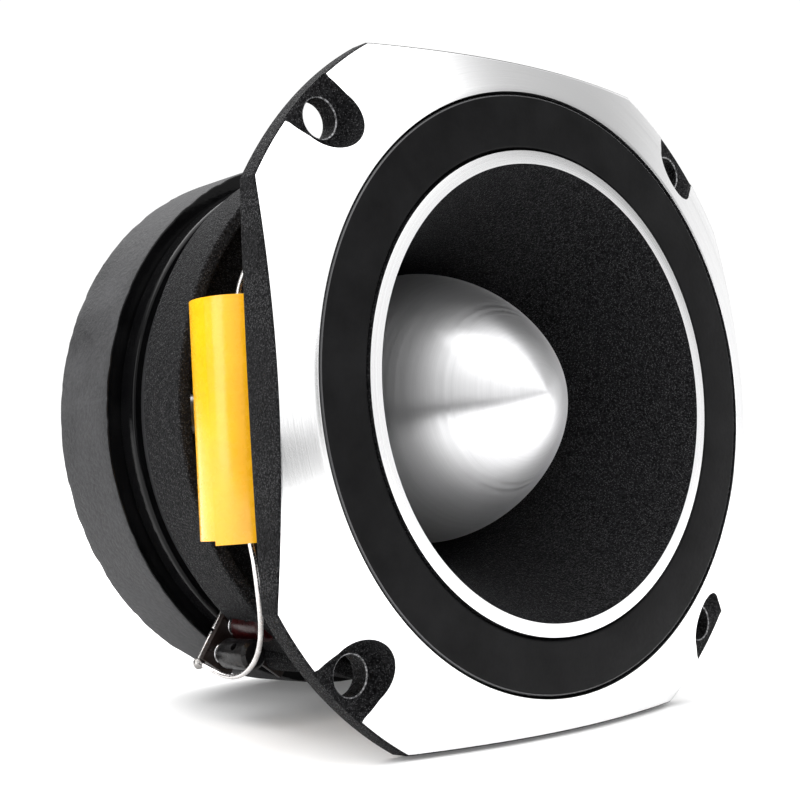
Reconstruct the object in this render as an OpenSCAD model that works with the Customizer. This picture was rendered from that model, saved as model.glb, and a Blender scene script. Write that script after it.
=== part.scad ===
// Bullet super tweeter: a flanged horn, a pointed phase plug, a ring magnet and push terminals.
// The front looks along -Y and Z is up. The origin is the centre of the flange's rear face.
// Turned parts are outlines of [radius, depth], where depth is measured along +Y.

/* [Flange] */
// Diameter over the round corners
flange_d = 111; // [110.5:0.5:112]
// Width over the middle of two opposite flats
flange_w = 97; // [96.5:0.5:97.5]
// How far each flat bows outwards at its middle
flat_bow = 0.38; // [0.3:0.02:0.5]
// Height of the lip's plane in front of the rear face
face_h = 8.3; // [8:0.1:8.6]
// Thickness of the rim at the round corners
rim_t = 3.1; // [2.9:0.1:3.4]
// Distance between neighbouring screw holes
hole_pitch = 73; // [72.5:0.5:73.5]
// Diameter of the screw holes
hole_d = 5.5; // [5:0.1:5.6]
// Width of the pocket round each screw hole
pocket_w = 9.2; // [9:0.1:9.6]

/* [Trim ring] */
// Outer diameter of the groove for the trim ring
groove_d = 87; // [86.6:0.2:87.2]
// Depth of the groove
groove_h = 2.2; // [2:0.1:2.4]
// Outer diameter of the lip round the mouth
lip_d = 70; // [69.6:0.2:70.4]
// Gap on each side of the trim ring
trim_gap = 0.35; // [0.2:0.05:0.5]

/* [Horn] */
// Diameter of the mouth
mouth_d = 66.1; // [65.7:0.1:66.5]
// Diameter of the throat
throat_d = 44.8; // [44.6:0.1:45]
// Depth at which the flare meets the throat
throat_y = 27; // [26:0.5:28]
// How quickly the flare opens
flare_power = 1.7; // [1.6:0.05:1.8]
// Wall thickness of the flare
flare_wall = 3; // [2.6:0.1:3.2]

/* [Drum] */
// Diameter of the drum at its open front edge
drum_front_d = 86.2; // [85.8:0.2:86.6]
// Diameter of the drum at its rear face
drum_rear_d = 84.8; // [84.4:0.2:85]
// Depth of the drum's front edge
drum_front_y = 23.5; // [23.3:0.1:24]
// Depth of the drum's floor
floor_y = 29.5; // [29.3:0.1:29.8]
// Depth of the drum's rear face
drum_rear_y = 34; // [34:0.1:34.2]

/* [Phase plug] */
// Diameter of the phase plug
plug_d = 42.3; // [42:0.1:42.4]
// How far its tip stands behind the lip's plane
tip_setback = 1.4; // [1:0.1:2]
// Length of its curved nose
nose_len = 26.7; // [25:0.1:28]

/* [Magnet system] */
// Diameter of the ferrite magnet
magnet_d = 87.2; // [86.8:0.2:87.6]
// Thickness of the ferrite magnet
magnet_t = 13.7; // [13:0.1:14]
// Diameter of the top plate
top_plate_d = 82.6; // [82:0.2:83]
// Thickness of the top plate
top_plate_t = 4; // [4:0.1:4.4]
// Thickness of the ring that carries the diaphragm
carrier_t = 4.3; // [4.2:0.1:4.5]
// Diameter of the back plate
back_plate_d = 77; // [74:0.5:78]
// Thickness of the back plate
back_plate_t = 5; // [4.5:0.1:5.5]

/* [Capacitor] */
// Diameter of the capacitor
cap_d = 14; // [13.6:0.1:14]
// Length of the capacitor
cap_len = 33.1; // [32.5:0.1:33.5]

/* [Terminals] */
// Angle of the terminal strip round the drum
terminal_angle = 125.3; // [125:0.1:126]
// Distance between the two terminal posts
post_pitch = 4.7; // [4.7:0.1:4.9]
// Travel of the push caps
cap_travel = 1.8; // [1.4:0.1:1.8]

/* [Hidden] */
$fn = 144;

// Small offset that carries a cut past the surface it opens
past = 1;
// Running clearance round a pin that slides
run = 0.05;

flange_r = flange_d / 2;
groove_r = groove_d / 2;
lip_r = lip_d / 2;
mouth_r = mouth_d / 2;
throat_r = throat_d / 2;
face_y = -face_h;
groove_y = face_y + groove_h;
trim_proud_y = face_y + 0.15;
rim_y = -rim_t;
bevel_w = 0.9;
bevel_y = face_y + 0.4;
flare_steps = 18;
recess_in_r = 38.2;
recess_out_r = 46;
recess_depth = 3.4;
rib_t = 2.4;
rib_count = 12;
pocket_floor_y = -2.85;
pocket_flare = 1;
hole_offset = hole_pitch / 2;
hole_radial = hole_offset * sqrt(2);
hole_rim = 0.2;

relief_r = 28.2;
relief_y = 33;
drum_wall = 2.1;
screw_ring_r = 37.4;
screw_r = 1.5;
screw_head_r = 2.9;
screw_head_h = 1.7;

carrier_y = drum_rear_y + carrier_t;
top_plate_y = carrier_y + top_plate_t;
magnet_y = top_plate_y + magnet_t;
back_y = magnet_y + back_plate_t;
carrier_r = 40;
carrier_in_r = 28.4;
pole_r = 21.2;
sleeve_t = 0.3;
gap_r = 23;
magnet_in_r = 25.5;
bolt_r = 2.5;
bolt_hole_r = 2.7;

plug_r = plug_d / 2;
tip_y = face_y + tip_setback;
nose_end_y = tip_y + nose_len;
nose_steps = 24;
nose_power = 1.7;
nose_root = 0.63;
plug_base_r = plug_r - 0.25;
plug_skirt_y = 33.2;
clamp_r = 16.4;
plug_bore_y = 22;

diaphragm_y = 34.5;
diaphragm_t = 0.3;
ring_in_r = 20.4;
ring_out_r = 24;
surround_t = 0.3;
roll_h = 1.3;
former_r = 21.95;
former_t = 0.2;
former_end_y = 42;
winding_y = 38.2;
winding_t = 0.5;

cap_r = cap_d / 2;
cap_x = -37.8;
cap_y = 15.5;
cap_low_z = -18.4;
cap_high_z = cap_low_z + cap_len;
tape_t = 0.28;
tail_t = 0.12;
lead_r = 0.4;
lead_hole_r = 0.45;

strip_y = drum_rear_y;
strip_t = 0.8;
lug_t = 0.5;
lug_y = strip_y + strip_t;
rivet_y = lug_y + lug_t;
post_in_x = 41.9;
post_out_x = post_in_x + post_pitch;
post_z = -4.5;
post_r = 1.1;
post_tip_y = 28.7;
push_r = 2.25;
push_front_y = 25.6;
push_rear_y = strip_y - cap_travel - 0.2;
push_bore_y = post_tip_y - cap_travel - 0.1;
spring_seat_y = 29.9;
spring_pocket_r = 1.8;
spring_mean_r = 1.45;
spring_wire_r = 0.15;
spring_turns = 5;
wire_hole_r = 0.6;
push_hole_y = 28.4;
strip_screw_x = 41.8;
strip_screw_z = 4.6;

feed_x = -21.4;
feed_z = 30;
feed_angle = atan2(-feed_z, feed_x);
return_angle = 118;
slot_y = 36.4;
slot_w = 3;
coil_lug_y = slot_y + 0.02;
coil_lug_t = 0.4;

// Route of the lead from the capacitor's lower end to the outer lug
lower_route = [
    [-37.8, 15.5, -17.8], [-37.8, 15.5, -19.2], [-37.3, 15.7, -21.2], [-36.5, 16.4, -23.8],
    [-35.6, 17.3, -26.6], [-34.5, 18.6, -29.4], [-33.5, 20.1, -32.0], [-32.7, 21.9, -34.4],
    [-32.2, 24.0, -36.4], [-32.0, 26.3, -37.8], [-32.2, 28.6, -38.5], [-32.6, 30.8, -38.4],
    [-33.1, 32.8, -37.7], [-33.6, 34.3, -37.0], [-34.0, 35.2, -36.6]
];
// Route of the lead from the capacitor's upper end to the coil's inner lug
upper_route = [
    [-37.8, 15.5, 14.2], [-37.8, 15.5, 15.6], [-37.4, 15.2, 17.4], [-36.2, 14.7, 20.0],
    [-33.6, 14.2, 23.2], [-30.0, 14.4, 25.9], [-26.5, 15.7, 27.9], [-23.8, 18.0, 29.2],
    [-22.2, 21.2, 29.8], [-21.5, 24.4, 30.0], [-21.4, 28.0, 30.0], [-21.4, 36.4, 30.0]
];
// Route of the wire from the inner lug to the coil's other lug, in the terminal's own frame
return_route = [
    [41.5, 35.75, -2.5], [41.3, 36.3, -1.2], [41.0, 36.8, 0.4], [40.7, 37.1, 2.2],
    [40.1, 37.25, 4.0], [39.1, 37.25, 4.9], [37.8, 37.25, 4.9]
];
// Route of a coil's lead-out, in a plane through the axis
coil_lead_route = [
    [22.9, 38.0, 0], [23.4, 37.4, 0], [24.6, 37.1, 0], [26.4, 37.0, 0], [28.2, 37.0, 0],
    [30.2, 37.0, 0]
];
return_wire_r = 0.4;
coil_lead_r = 0.15;

// ---- Shared shapes ----

// Radius of the horn's inner wall at a given depth
function flare_r(y) =
    throat_r + (mouth_r - throat_r) * pow(max(0, 1 - (y - face_y) / (throat_y - face_y)), flare_power);

// Radius of the phase plug's nose at a share of its length
function nose_r(s) = plug_r * pow(1 - pow(1 - s, nose_power), nose_root);

// Depth on the flange's sloping face at a given radius
function face_slope_y(r) =
    bevel_y + (rim_y - bevel_y) * (r - groove_r - bevel_w) / (flange_r - groove_r - bevel_w);

function unit(v) = v / norm(v);

// Direction of a route at point i
function route_dir(p, i) = unit(p[min(i + 1, len(p) - 1)] - p[max(i - 1, 0)]);

// Two directions square to a route's own direction
function side_a(t) = unit(cross(t, abs(t[2]) < 0.9 ? [0, 0, 1] : [0, 1, 0]));
function side_b(t) = cross(t, side_a(t));

// A round wire along a route
module wire(p, r, sides = 8) {
    rings = len(p);
    points = [
        for (i = [0 : rings - 1])
            let (t = route_dir(p, i), a = side_a(t), b = side_b(t))
                for (k = [0 : sides - 1])
                    p[i] + r * (a * cos(360 * k / sides) + b * sin(360 * k / sides))
    ];
    walls = [
        for (i = [0 : rings - 2])
            for (k = [0 : sides - 1])
                let (n = (k + 1) % sides, low = i * sides, high = low + sides)
                    each [[low + k, low + n, high + n], [low + k, high + n, high + k]]
    ];
    start = [for (k = [sides - 1 : -1 : 0]) k];
    end = [for (k = [0 : sides - 1]) (rings - 1) * sides + k];
    polyhedron(points, [for (f = concat([start], walls, [end])) [for (k = [len(f) - 1 : -1 : 0]) f[k]]]);
}

// Turns an outline of [radius, depth] about the Y axis
module turned(outline, angle = 360) {
    rotate([-90, 0, 0])
        rotate_extrude(angle = angle)
            polygon(outline);
}

// A round bar or hole along Y
module rod(r, y0, y1) {
    translate([0, y0, 0])
        rotate([-90, 0, 0])
            cylinder(r = r, h = y1 - y0);
}

// A tube along Y
module tube(r_in, r_out, y0, y1) {
    turned([[r_in, y0], [r_out, y0], [r_out, y1], [r_in, y1]]);
}

// Moves children out to radius r and round the axis
module polar(r, angle) {
    rotate([0, angle, 0])
        translate([r, 0, 0])
            children();
}

// The terminal's own frame: X points away from the axis and Z runs round the drum
module at_terminal(x = 0, z = 0) {
    rotate([0, terminal_angle, 0])
        translate([x, 0, z])
            children();
}

// ---- Horn ----

module casting_body() {
    inner = [
        for (i = [0 : flare_steps])
            let (y = face_y + (throat_y - face_y) * i / flare_steps) [flare_r(y), y]
    ];
    outer = [
        for (i = [0 : flare_steps])
            let (y = floor_y * (1 - i / flare_steps)) [flare_r(y) + flare_wall, y]
    ];
    turned(concat(
        inner,
        [[throat_r, relief_y], [relief_r, relief_y], [relief_r, drum_rear_y]],
        [[drum_rear_d / 2, drum_rear_y], [drum_front_d / 2, drum_front_y]],
        [[drum_front_d / 2 - drum_wall, drum_front_y], [drum_rear_d / 2 - drum_wall, floor_y]],
        outer,
        [[recess_in_r, 0], [recess_in_r + 0.5, -recess_depth]],
        [[recess_out_r - 0.5, -recess_depth], [recess_out_r, 0]],
        [[flange_r, 0], [flange_r, rim_y]],
        [[groove_r + bevel_w, bevel_y], [groove_r, face_y]],
        [[groove_r - 0.1, groove_y], [lip_r + 0.1, groove_y], [lip_r, face_y]]
    ));
}

module flange_outline() {
    half_flat = sqrt(pow(flange_r, 2) - pow(flange_w / 2, 2));
    bow_r = (pow(half_flat, 2) + pow(flat_bow, 2)) / (2 * flat_bow);
    intersection_for (side = [0 : 90 : 270])
        rotate([0, side, 0])
            translate([flange_w / 2 - bow_r, 0, 0])
                rod(bow_r, face_y - past, drum_rear_y + past, $fn = 720);
}

module screw_pocket() {
    w = pocket_w / 2;
    reach = flange_r - hole_radial + past;
    translate([0, pocket_floor_y, 0])
        rotate([90, 0, 0])
            linear_extrude(face_h) {
                circle(w);
                polygon([[0, -w], [reach, -w - pocket_flare], [reach, w + pocket_flare], [0, w]]);
            }
    rod(hole_d / 2, pocket_floor_y - past, past);
    translate([0, pocket_floor_y, 0])
        rotate([-90, 0, 0])
            cylinder(r1 = hole_d / 2 + hole_rim, r2 = hole_d / 2, h = hole_rim);
}

module rear_ribs() {
    for (k = [0 : rib_count - 1])
        rotate([0, (k + 0.5) * 360 / rib_count, 0])
            translate([recess_in_r, -recess_depth - 0.5, -rib_t / 2])
                cube([recess_out_r - recess_in_r, recess_depth + 0.5, rib_t]);
}

module horn_casting() color("dimgray") {
    notch = [11, drum_rear_y, 9.6];
    difference() {
        union() {
            intersection() {
                casting_body();
                flange_outline();
            }
            rear_ribs();
            at_terminal(strip_screw_x, strip_screw_z)
                rod(2.4, 27, drum_rear_y);
        }
        for (corner = [45 : 90 : 315])
            polar(hole_radial, corner)
                screw_pocket();
        for (k = [0 : 3])
            polar(screw_ring_r, 90 * k)
                rod(screw_r + 0.2, floor_y - past, drum_rear_y + past);
        translate([feed_x, 0, feed_z])
            rod(1.52, floor_y - past, drum_rear_y + past);
        at_terminal(37.6, -8.4)
            translate([0, 24.8, 0])
                cube(notch);
        at_terminal(strip_screw_x, strip_screw_z)
            rod(1.05, 28, drum_rear_y + past);
    }
}

module trim_ring() color([0.06, 0.06, 0.06]) {
    edge = 0.4;
    r0 = lip_r + trim_gap;
    r1 = groove_r - trim_gap;
    turned([
        [r0, groove_y], [r1, groove_y], [r1, trim_proud_y + edge], [r1 - edge, trim_proud_y],
        [r0 + edge / 2, trim_proud_y], [r0, trim_proud_y + edge / 2]
    ]);
}

// ---- Phase plug and its fixing ----

module phase_plug() color("silver") {
    nose = [for (i = [0 : nose_steps]) let (s = pow(i / nose_steps, 1.6)) [nose_r(s), tip_y + nose_len * s]];
    turned(concat(
        nose,
        [[plug_base_r, plug_skirt_y], [clamp_r, plug_skirt_y], [clamp_r, drum_rear_y]],
        [[bolt_r + run, drum_rear_y], [bolt_r + run, plug_bore_y], [0, plug_bore_y]]
    ));
}

module centre_bolt() color("gray") {
    head_y = back_y + 1.2;
    head_h = 3.5;
    difference() {
        union() {
            rod(bolt_r, plug_bore_y + 0.5, head_y);
            translate([0, head_y, 0])
                rotate([-90, 0, 0])
                    cylinder(r = 4.6, h = head_h, $fn = 6);
        }
        rod(3, head_y + head_h - 0.5, head_y + head_h + past);
    }
}

module centre_washer() color("lightgray") {
    tube(bolt_r + 0.1, 5, back_y, back_y + 1.2);
}

module inner_spacer() color("silver") {
    seat_y = drum_rear_y + surround_t + 0.05;
    turned([
        [bolt_hole_r, drum_rear_y], [13.3, drum_rear_y], [13.3, seat_y], [clamp_r, seat_y],
        [clamp_r, carrier_y], [bolt_hole_r, carrier_y]
    ]);
}

// ---- Diaphragm and coil ----

// A ring with a clamped edge, one half roll and an edge that meets the diaphragm
module surround(clamp_far, clamp_near, free_r) {
    steps = 12;
    flat_y = drum_rear_y + 0.03;
    drop = diaphragm_y - flat_y;
    front = [
        for (i = [0 : steps])
            let (s = i / steps)
                [clamp_near + (free_r - clamp_near) * s, flat_y + drop * s + roll_h * sin(180 * s)]
    ];
    rear = [for (i = [steps : -1 : 0]) front[i] + [0, surround_t]];
    turned(concat([[clamp_far, flat_y]], front, rear, [[clamp_far, flat_y + surround_t]]));
}

module inner_surround() color("khaki") {
    surround(13.5, clamp_r, ring_in_r);
}

module outer_surround() color("khaki") {
    surround(30.9, carrier_in_r, ring_out_r);
}

module diaphragm_ring() color("lightsteelblue") {
    tube(ring_in_r, ring_out_r, diaphragm_y, diaphragm_y + diaphragm_t);
}

module coil_former() color("tan") {
    tube(former_r, former_r + former_t, diaphragm_y + diaphragm_t, former_end_y);
}

module voice_coil() color("peru") {
    tube(former_r + former_t, former_r + former_t + winding_t, winding_y, former_end_y);
}

module carrier_slot(length) {
    translate([carrier_in_r - past, slot_y, -slot_w / 2])
        cube([length + past, carrier_y - slot_y + past, slot_w]);
}

module carrier_ring() color([0.08, 0.08, 0.08]) {
    seat_r = 31;
    seat_y = drum_rear_y + surround_t + 0.05;
    difference() {
        turned([
            [seat_r, drum_rear_y], [carrier_r, drum_rear_y], [carrier_r, carrier_y],
            [carrier_in_r, carrier_y], [carrier_in_r, seat_y], [seat_r, seat_y]
        ]);
        for (k = [0 : 3])
            polar(screw_ring_r, 90 * k)
                rod(screw_r + 0.1, drum_rear_y - past, carrier_y + past);
        rotate([0, feed_angle, 0])
            carrier_slot(11.2);
        rotate([0, return_angle, 0])
            carrier_slot(carrier_r - carrier_in_r + past);
        translate([feed_x, 0, feed_z])
            rod(0.6, drum_rear_y - past, slot_y + past);
    }
}

module coil_lug(angle) {
    rotate([0, angle, 0])
        translate([carrier_in_r + 0.5, coil_lug_y, -1.2])
            cube([10.5, coil_lug_t, 2.4]);
}

module coil_lug_in() color("gold") {
    coil_lug(feed_angle);
}

module coil_lug_out() color("gold") {
    coil_lug(return_angle);
}

module coil_lead(angle) {
    rotate([0, angle, 0])
        wire(coil_lead_route, coil_lead_r);
}

module coil_lead_in() color("peru") {
    coil_lead(feed_angle);
}

module coil_lead_out() color("peru") {
    coil_lead(return_angle);
}

// ---- Magnet system ----

module top_plate() color([0.05, 0.05, 0.06]) {
    edge = 0.4;
    r = top_plate_d / 2;
    difference() {
        turned([
            [gap_r, carrier_y], [r - edge, carrier_y], [r, carrier_y + edge],
            [r, top_plate_y], [gap_r, top_plate_y]
        ]);
        for (k = [0 : 3])
            polar(screw_ring_r, 90 * k)
                rod(screw_r + run, carrier_y - past, top_plate_y - 0.5);
    }
}

module magnet() color("darkslategray") {
    edge = 0.5;
    r = magnet_d / 2;
    turned([
        [magnet_in_r, top_plate_y], [r - edge, top_plate_y], [r, top_plate_y + edge],
        [r, magnet_y - edge], [r - edge, magnet_y], [magnet_in_r, magnet_y]
    ]);
}

module yoke() color([0.3, 0.3, 0.32]) {
    edge = 0.8;
    r = back_plate_d / 2;
    turned([
        [bolt_hole_r, carrier_y], [pole_r, carrier_y], [pole_r, magnet_y], [r, magnet_y],
        [r, back_y - edge], [r - edge, back_y], [bolt_hole_r, back_y]
    ]);
}

module shorting_sleeve() color("chocolate") {
    tube(pole_r, pole_r + sleeve_t, carrier_y, carrier_y + 7.5);
}

module damping_felt() color("dimgray") {
    tube(clamp_r + 0.6, pole_r - 0.5, carrier_y - 0.9, carrier_y);
}

module assembly_screw(k) {
    slot = [3, 1, 0.6];
    head_y = floor_y - screw_head_h;
    polar(screw_ring_r, 90 * k)
        difference() {
            union() {
                rod(screw_r, floor_y, top_plate_y - 0.7);
                turned([
                    [0, head_y], [screw_head_r * 0.6, head_y], [screw_head_r, head_y + 0.7],
                    [screw_head_r, floor_y], [0, floor_y]
                ]);
            }
            for (turn = [0, 90])
                rotate([0, turn, 0])
                    translate([-slot[0] / 2, head_y - past, -slot[2] / 2])
                        cube([slot[0], slot[1] + past, slot[2]]);
        }
}

module assembly_screw_1() color("silver") assembly_screw(0);
module assembly_screw_2() color("silver") assembly_screw(1);
module assembly_screw_3() color("silver") assembly_screw(2);
module assembly_screw_4() color("silver") assembly_screw(3);

// ---- Capacitor ----

module at_capacitor(z = 0) {
    translate([cap_x, cap_y, z])
        children();
}

module pipe(r_in, r_out, z0, z1, angle = 360) {
    rotate_extrude(angle = angle)
        polygon([[r_in, z0], [r_out, z0], [r_out, z1], [r_in, z1]]);
}

module capacitor_core() color("goldenrod") {
    at_capacitor(cap_low_z + 1.2)
        cylinder(r = cap_r - tail_t - tape_t, h = cap_len - 2.4);
}

module capacitor_tape() color("gold") {
    at_capacitor()
        pipe(cap_r - tail_t - tape_t, cap_r - tail_t, cap_low_z, cap_high_z);
}

module tape_tail() color("gold") {
    at_capacitor()
        rotate([0, 0, 192])
            pipe(cap_r - tail_t, cap_r, cap_low_z - 0.5, cap_high_z - 0.4, 250);
}

module end_fill(z) {
    at_capacitor(z)
        difference() {
            cylinder(r = cap_r - tail_t - tape_t, h = 0.9);
            translate([0, 0, -past])
                cylinder(r = lead_hole_r, h = 0.9 + 2 * past);
        }
}

module end_fill_top() color("orange") {
    end_fill(cap_high_z - 1.2);
}

module end_fill_bottom() color("orange") {
    end_fill(cap_low_z + 0.3);
}

module lead_lower() color("silver") {
    wire(lower_route, lead_r);
}

module lead_upper() color("silver") {
    wire(upper_route, lead_r);
}

module adhesive_bead() color("peru") {
    bead_z = -16.4;
    flare = [for (i = [0 : 6]) let (y = 6 + 3.5 * i) [flare_r(y) + flare_wall + 0.03, y]];
    difference() {
        translate([cap_x + 4, cap_y, bead_z])
            rotate([0, 90, 0])
                cylinder(r1 = 4, r2 = 4.6, h = 13);
        at_capacitor(bead_z - 10)
            cylinder(r = cap_r + 0.03, h = 20);
        turned(concat([[0, 6]], flare, [[0, 27]]));
    }
}

module solder_joint() color("lightgray") {
    translate(lower_route[len(lower_route) - 1])
        scale(1.05)
            sphere(r = 0.9, $fn = 24);
}

module feed_bush() color([0.1, 0.1, 0.1]) {
    translate([feed_x, 0, feed_z])
        turned([
            [lead_hole_r, floor_y - 1.2], [1.2, floor_y - 1.2], [2.2, floor_y - 0.5], [2.2, floor_y],
            [1.5, floor_y], [1.5, drum_rear_y], [lead_hole_r, drum_rear_y]
        ]);
}

// ---- Terminals ----

module terminal_strip() color([0.25, 0.15, 0.1]) {
    at_terminal()
        difference() {
            translate([0, strip_y + strip_t, 0])
                rotate([90, 0, 0])
                    linear_extrude(strip_t)
                        polygon([[40.2, 7.2], [44.4, 7.2], [44.4, -1.4], [49, -1.4], [49, -7.1], [40.2, -7.1]]);
            for (x = [post_in_x, post_out_x])
                translate([x, 0, post_z])
                    rod(post_r + 0.02, strip_y - past, lug_y + past);
            translate([strip_screw_x, 0, strip_screw_z])
                rod(1.2, strip_y - past, lug_y + past);
        }
}

module strip_screw() color("silver") {
    head_r = 1.9;
    head_h = 1.1;
    at_terminal(strip_screw_x, strip_screw_z)
        difference() {
            union() {
                rod(1, 28.3, lug_y);
                rod(head_r, lug_y, lug_y + head_h);
            }
            translate([-head_r, lug_y + head_h - 0.5, -0.25])
                cube([2 * head_r, past, 0.5]);
        }
}

module lug(x, low, high) {
    at_terminal()
        difference() {
            translate([low, lug_y, -7.3])
                cube([high - low, lug_t, 5.4]);
            translate([x, 0, post_z])
                rod(post_r + 0.02, lug_y - past, rivet_y + past);
        }
}

module lug_inner() color("lightgray") {
    lug(post_in_x, 40.4, 43.9);
}

module lug_outer() color("lightgray") {
    lug(post_out_x, 44.4, 49.1);
}

module post(x) {
    at_terminal(x, post_z)
        difference() {
            union() {
                rod(post_r, post_tip_y, rivet_y);
                rod(1.6, rivet_y, rivet_y + 0.4);
            }
            translate([0, push_hole_y + cap_travel, -post_r - past])
                cylinder(r = wire_hole_r, h = 2 * (post_r + past));
        }
}

module post_inner() color("lightgray") {
    post(post_in_x);
}

module post_outer() color("lightgray") {
    post(post_out_x);
}

module push_cap(x) {
    edge = 0.5;
    at_terminal(x, post_z)
        difference() {
            turned([
                [0, push_front_y], [push_r - edge, push_front_y], [push_r, push_front_y + edge],
                [push_r, push_rear_y], [spring_pocket_r, push_rear_y],
                [spring_pocket_r, spring_seat_y], [post_r + run, spring_seat_y],
                [post_r + run, push_bore_y], [0, push_bore_y]
            ]);
            translate([0, push_hole_y, -push_r - past])
                cylinder(r = wire_hole_r, h = 2 * (push_r + past));
        }
}

module push_cap_red() color([0.5, 0.02, 0.03]) {
    push_cap(post_in_x);
}

module push_cap_black() color([0.04, 0.04, 0.04]) {
    push_cap(post_out_x);
}

module cap_spring(x) {
    steps = 12 * spring_turns;
    low = spring_seat_y + spring_wire_r + 0.02;
    high = strip_y - spring_wire_r - 0.02;
    coil = [
        for (i = [0 : steps])
            let (turn = 360 * spring_turns * i / steps)
                [spring_mean_r * cos(turn), low + (high - low) * i / steps, spring_mean_r * sin(turn)]
    ];
    at_terminal(x, post_z)
        wire(coil, spring_wire_r, 6);
}

module cap_spring_red() color("silver") {
    cap_spring(post_in_x);
}

module cap_spring_black() color("silver") {
    cap_spring(post_out_x);
}

module return_wire() color([0.05, 0.05, 0.05]) {
    at_terminal()
        wire(return_route, return_wire_r);
}

horn_casting();
trim_ring();
phase_plug();
centre_bolt();
centre_washer();
inner_spacer();
inner_surround();
outer_surround();
diaphragm_ring();
coil_former();
voice_coil();
carrier_ring();
top_plate();
magnet();
yoke();
shorting_sleeve();
damping_felt();
assembly_screw_1();
assembly_screw_2();
assembly_screw_3();
assembly_screw_4();
capacitor_core();
capacitor_tape();
tape_tail();
end_fill_top();
end_fill_bottom();
adhesive_bead();
lead_lower();
lead_upper();
solder_joint();
feed_bush();
terminal_strip();
strip_screw();
lug_inner();
lug_outer();
post_inner();
post_outer();
push_cap_red();
push_cap_black();
cap_spring_red();
cap_spring_black();
coil_lug_in();
coil_lug_out();
coil_lead_in();
coil_lead_out();
return_wire();
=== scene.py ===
# %% [markdown]
# # A bullet super tweeter, finished in Blender
#
# The CAD model comes in first and stays fixed. Each step below then takes one part of the
# real speaker, says how it is made and what it looks like, and builds a finer piece or a
# finish for it. Lengths are in millimetres and are turned into metres where a mesh is made.
# The speaker looks along -Y and Z is up, so depth grows along +Y.

# %% Load the frame
import math

import bmesh
import bpy
import numpy as np
from mathutils import Matrix, Vector, noise


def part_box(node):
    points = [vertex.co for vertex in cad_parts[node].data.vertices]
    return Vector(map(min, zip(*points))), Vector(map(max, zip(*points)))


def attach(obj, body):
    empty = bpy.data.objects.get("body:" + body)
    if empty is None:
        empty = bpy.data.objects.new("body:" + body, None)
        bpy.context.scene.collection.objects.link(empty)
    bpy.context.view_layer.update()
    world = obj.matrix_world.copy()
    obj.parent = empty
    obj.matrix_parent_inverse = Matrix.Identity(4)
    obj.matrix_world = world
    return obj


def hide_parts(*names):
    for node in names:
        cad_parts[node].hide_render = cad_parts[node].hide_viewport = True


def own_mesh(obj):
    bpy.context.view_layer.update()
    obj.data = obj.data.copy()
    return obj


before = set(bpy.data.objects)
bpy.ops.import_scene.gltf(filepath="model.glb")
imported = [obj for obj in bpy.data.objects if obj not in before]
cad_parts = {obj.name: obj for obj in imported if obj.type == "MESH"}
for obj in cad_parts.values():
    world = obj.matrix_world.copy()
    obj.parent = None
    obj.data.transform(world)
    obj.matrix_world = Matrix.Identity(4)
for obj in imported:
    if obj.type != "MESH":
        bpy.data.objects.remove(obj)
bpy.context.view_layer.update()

MM = 0.001
node_box = {name: [np.array(corner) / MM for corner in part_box(name)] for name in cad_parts}

# %% [markdown]
# ## Camera
# A product photographer stands low and to the left of the speaker, so the flange is seen at
# about 42 degrees and the drum and the capacitor show behind it. The camera comes first,
# because everything after it is judged through it.

# %% Camera
camera_data = bpy.data.cameras.new("camera")
camera_data.lens = 68.41
camera_data.sensor_width = 36
camera_data.clip_start = 0.005
camera_data.clip_end = 30
camera = bpy.data.objects.new("camera", camera_data)
camera.location = (-0.16268, -0.15508, -0.01500)
look_right = Vector((0.74351, -0.66623, -0.05767))
look_up = Vector((-0.00322, -0.08980, 0.99595))
look_back = look_right.cross(look_up)
camera.rotation_euler = Matrix((look_right, look_up, look_back)).transposed().to_euler()
bpy.context.collection.objects.link(camera)
bpy.context.scene.camera = camera
print("camera turned", [round(math.degrees(a), 1) for a in camera.rotation_euler])

# %% [markdown]
# ## Mesh helpers
# Most of the speaker is turned on a lathe, so one helper spins an outline of
# [radius, depth] round the Y axis. Real edges are never knife sharp: another helper rounds
# the outline's corners before it is spun, which costs far less than a bevel afterwards.

# %% From a bmesh to a finished object
def make_object(name, bm, materials=(), crease=32):
    """Ends a bmesh: smooth faces, with edges sharper than `crease` degrees kept crisp."""
    mesh = bpy.data.meshes.new(name)
    bm.to_mesh(mesh)
    bm.free()
    return link_mesh(name, mesh, materials, crease)


def closed_object(name, bm, materials=(), crease=32):
    """The same for a closed bmesh, whose faces are first turned to look outwards."""
    bmesh.ops.recalc_face_normals(bm, faces=bm.faces)
    return make_object(name, bm, materials, crease)


def link_mesh(name, mesh, materials=(), crease=32):
    for material in materials:
        mesh.materials.append(material)
    mesh.polygons.foreach_set("use_smooth", [True] * len(mesh.polygons))
    mesh.set_sharp_from_angle(angle=math.radians(crease))
    piece = bpy.data.objects.new(name, mesh)
    bpy.context.collection.objects.link(piece)
    return piece


# %% Rounded outlines
def soften(outline, radius, steps=4, straight=14, closed=True):
    """Rounds each corner of an outline, apart from points on the axis and open ends."""
    rounded = []
    count = len(outline)
    for i in range(count):
        here = np.array(outline[i], float)
        if not closed and i in (0, count - 1):
            rounded.append(here)
            continue
        before = np.array(outline[i - 1], float) - here
        after = np.array(outline[(i + 1) % count], float) - here
        size_a, size_b = np.linalg.norm(before), np.linalg.norm(after)
        bend = math.degrees(math.acos(np.clip(-before @ after / size_a / size_b, -1, 1)))
        if here[0] < 1e-6 or bend < straight:
            rounded.append(here)
            continue
        cut = min(radius, 0.45 * size_a, 0.45 * size_b)
        start, end = here + before / size_a * cut, here + after / size_b * cut
        for k in range(steps + 1):
            t = k / steps
            rounded.append((1 - t) ** 2 * start + 2 * t * (1 - t) * here + t * t * end)
    return rounded


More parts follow.
